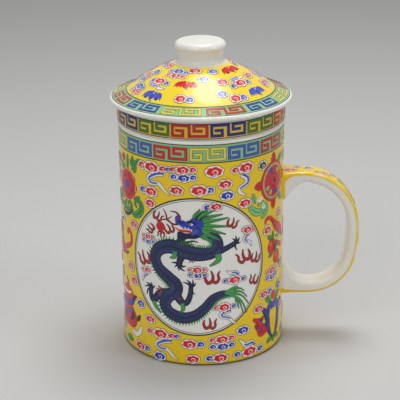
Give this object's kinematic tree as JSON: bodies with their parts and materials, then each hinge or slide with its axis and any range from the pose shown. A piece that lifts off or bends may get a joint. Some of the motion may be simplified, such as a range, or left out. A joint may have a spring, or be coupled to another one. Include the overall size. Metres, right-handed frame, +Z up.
{
  "type": "lidded tea mug with infuser",
  "caption": "Straight porcelain tea mug with a looped strap handle, a drop-in perforated infuser and a domed lift-off lid with a button knob, in painted enamel decoration.",
  "frame": {"origin": "on the mug's axis, in the plane of the foot ring that it stands on", "axes": "+Z up along the mug's axis, +X from the axis towards the handle, +Y towards the back of the pictured view"},
  "size_m": [0.1242, 0.09, 0.1558],
  "materials": {
    "mug_glaze": "glossy yellow enamel ground with painted motifs over white porcelain, white inside and at the lip, bare foot ring",
    "handle_glaze": "glossy white porcelain with a yellow enamel outer face",
    "infuser_glaze": "glossy white porcelain with a fret band round the collar",
    "lid_glaze": "glossy yellow enamel dome and a green fret band on the brim, white edge and underside",
    "white_glaze": "glossy white porcelain",
    "enamel_line": "thin dark enamel outline",
    "enamel_colour": "overglaze enamel in red, blue, green and white"
  },
  "bodies": {
    "mug": {"mug_body": "mug_glaze", "mug_handle": "handle_glaze"},
    "infuser": {"infuser_basket": "infuser_glaze"},
    "lid": {"lid_cover": "lid_glaze", "lid_knob": "white_glaze"}
  },
  "joints": [
    {"name": "infuser_lift", "type": "slide", "parent": "mug", "child": "infuser", "axis": [0, 0, 1], "range_m": [0, 0.075]},
    {"name": "lid_lift", "type": "slide", "parent": "infuser", "child": "lid", "axis": [0, 0, 1], "range_m": [0, 0.03]}
  ]
}
